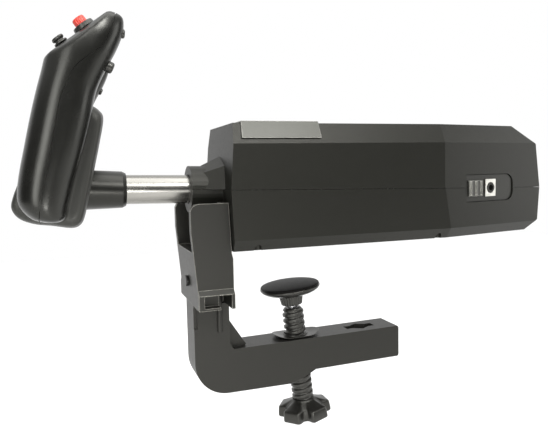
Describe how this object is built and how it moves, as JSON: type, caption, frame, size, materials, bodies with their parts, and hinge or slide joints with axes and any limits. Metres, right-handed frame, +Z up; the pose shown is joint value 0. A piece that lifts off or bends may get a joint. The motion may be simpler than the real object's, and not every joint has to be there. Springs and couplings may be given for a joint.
{
  "type": "flight yoke",
  "caption": "Desk-clamped flight simulator yoke: two-horn grip on a chrome shaft that slides and turns in a long tapered housing, with an L-shaped screw clamp.",
  "frame": {"origin": "underside of the desk pad, on the middle plane, above the clamp screw's ball", "axes": "+X away from the pilot along the housing, +Y to the pilot's left, +Z up from the desk top"},
  "size_m": [0.5185, 0.204, 0.3542],
  "materials": {
    "housing_plastic": "fine-grained moulded charcoal plastic",
    "top_panel_plastic": "lighter grey fine-grained panel",
    "grip_plastic": "near-black semi-gloss moulding",
    "button_plastic": "black satin button plastic",
    "red_button_plastic": "red satin button plastic",
    "panel_plastic": "black fine-grained plastic",
    "clamp_plastic": "glass-filled black-grey nylon",
    "clamp_screw_plastic": "black moulded screw thread",
    "rubber": "soft black rubber",
    "chrome_tube": "bright polished chrome plate",
    "bright_steel": "plain bright steel",
    "screw_steel": "blackened steel",
    "zinc_plate": "pale zinc-plated sheet",
    "bearing_plastic": "off-white acetal",
    "circuit_board": "green solder-masked board"
  },
  "bodies": {
    "base": {"upper_housing": "housing_plastic", "lower_housing": "housing_plastic", "top_panel": "top_panel_plastic", "housing_screw_1": "screw_steel", "housing_screw_2": "screw_steel", "housing_screw_3": "screw_steel", "housing_screw_4": "screw_steel", "desk_pad": "rubber", "cable_gland": "rubber", "socket_panel": "panel_plastic", "socket_plate": "zinc_plate", "socket_insert": "panel_plastic", "front_bearing": "bearing_plastic", "guide_rod_right": "bright_steel", "guide_rod_left": "bright_steel", "rod_bracket_front": "housing_plastic", "rod_bracket_rear": "housing_plastic", "pitch_sensor": "zinc_plate", "main_board": "circuit_board", "pitch_spring_front": "bright_steel", "pitch_spring_rear": "bright_steel", "clamp_bracket": "clamp_plastic", "clamp_arm": "clamp_plastic", "nut_plate": "clamp_plastic", "arm_bolt": "screw_steel", "bracket_screw_1": "screw_steel", "bracket_screw_2": "screw_steel"},
    "carriage": {"carriage": "bearing_plastic", "rear_bearing": "bright_steel", "roll_sensor": "bright_steel", "roll_spring": "bright_steel", "pitch_wiper": "button_plastic"},
    "yoke": {"yoke_front_shell": "grip_plastic", "yoke_rear_shell": "grip_plastic", "shaft_tube": "chrome_tube", "shaft_collar": "grip_plastic", "shaft_clamp_block": "housing_plastic", "hub_board": "circuit_board", "right_button_ring": "button_plastic", "left_button_ring": "button_plastic", "right_switch_board": "circuit_board", "left_switch_board": "circuit_board", "yoke_screw_right": "screw_steel", "yoke_screw_left": "screw_steel"},
    "mode_slider": {"mode_slider": "panel_plastic"},
    "clamp_swivel": {"swivel_ball": "bright_steel"},
    "clamp_screw": {"clamp_rod": "clamp_screw_plastic", "clamp_knob": "clamp_plastic"},
    "clamp_pad": {"clamp_pad": "clamp_plastic", "pad_cap": "rubber"},
    "right_red_button": {"right_red_button": "red_button_plastic"},
    "right_hat_gimbal": {"right_hat_gimbal": "bright_steel"},
    "right_hat": {"right_hat": "button_plastic"},
    "right_rear_button": {"right_rear_button": "button_plastic"},
    "right_trigger": {"right_trigger": "button_plastic"},
    "left_red_button": {"left_red_button": "red_button_plastic"},
    "left_hat_gimbal": {"left_hat_gimbal": "bright_steel"},
    "left_hat": {"left_hat": "button_plastic"},
    "left_rear_button": {"left_rear_button": "button_plastic"}
  },
  "joints": [
    {"name": "pitch_slide", "type": "slide", "parent": "base", "child": "carriage", "axis": [0.9997, 0, -0.0227], "range_m": [-0.045, 0.045], "stiffness_N_per_m": 180, "deforming": ["pitch_spring_front", "pitch_spring_rear"]},
    {"name": "roll_turn", "type": "hinge", "parent": "carriage", "child": "yoke", "pos_m": [-0.19375, 0, 0.05741], "axis": [0.9997, 0, -0.0227], "range_deg": [-50, 50], "stiffness_Nm_per_rad": 1.2},
    {"name": "right_red_button_press", "type": "slide", "parent": "yoke", "child": "right_red_button", "axis": [0.6055, 0, -0.7959], "range_m": [0, 0.0018], "stiffness_N_per_m": 400, "springref_m": -0.0005},
    {"name": "right_hat_across", "type": "hinge", "parent": "yoke", "child": "right_hat_gimbal", "pos_m": [-0.19247, -0.085, 0.15574], "axis": [0.7959, 0, 0.6055], "range_deg": [-7, 7], "stiffness_Nm_per_rad": 0.02},
    {"name": "right_hat_along", "type": "hinge", "parent": "right_hat_gimbal", "child": "right_hat", "pos_m": [-0.19247, -0.085, 0.15574], "axis": [0, 1, 0], "range_deg": [-7, 7], "stiffness_Nm_per_rad": 0.02},
    {"name": "right_rear_button_press", "type": "slide", "parent": "yoke", "child": "right_rear_button", "axis": [-0.9957, 0, 0.0924], "range_m": [0, 0.0012], "stiffness_N_per_m": 400, "springref_m": -0.0005},
    {"name": "right_trigger_press", "type": "slide", "parent": "yoke", "child": "right_trigger", "axis": [-0.9041, 0, 0.4274], "range_m": [0, 0.002], "stiffness_N_per_m": 400, "springref_m": -0.0005},
    {"name": "left_red_button_press", "type": "slide", "parent": "yoke", "child": "left_red_button", "axis": [0.6055, 0, -0.7959], "range_m": [0, 0.0018], "stiffness_N_per_m": 400, "springref_m": -0.0005},
    {"name": "left_hat_across", "type": "hinge", "parent": "yoke", "child": "left_hat_gimbal", "pos_m": [-0.19247, 0.085, 0.15574], "axis": [0.7959, 0, 0.6055], "range_deg": [-7, 7], "stiffness_Nm_per_rad": 0.02},
    {"name": "left_hat_along", "type": "hinge", "parent": "left_hat_gimbal", "child": "left_hat", "pos_m": [-0.19247, 0.085, 0.15574], "axis": [0, 1, 0], "range_deg": [-7, 7], "stiffness_Nm_per_rad": 0.02},
    {"name": "left_rear_button_press", "type": "slide", "parent": "yoke", "child": "left_rear_button", "axis": [-0.9041, 0, 0.4274], "range_m": [0, 0.0012], "stiffness_N_per_m": 400, "springref_m": -0.0005},
    {"name": "mode_slide", "type": "slide", "parent": "base", "child": "mode_slider", "axis": [0.9833, 0.1822, 0], "range_m": [0, 0.004]},
    {"name": "clamp_travel", "type": "slide", "parent": "base", "child": "clamp_swivel", "axis": [-0.1045, 0, 0.9945], "range_m": [-0.022, 0.018]},
    {"name": "clamp_turn", "type": "hinge", "parent": "clamp_swivel", "child": "clamp_screw", "pos_m": [0, 0, -0.05], "axis": [-0.1045, 0, 0.9945], "range_deg": [-1370, 1125]},
    {"name": "pad_tilt", "type": "hinge", "parent": "clamp_swivel", "child": "clamp_pad", "pos_m": [0, 0, -0.05], "axis": [0, 1, 0], "range_deg": [-8, 8]}
  ],
  "couplings": [
    {"joint": "clamp_turn", "follows": "clamp_travel", "rad_per_m": 1083.3}
  ]
}
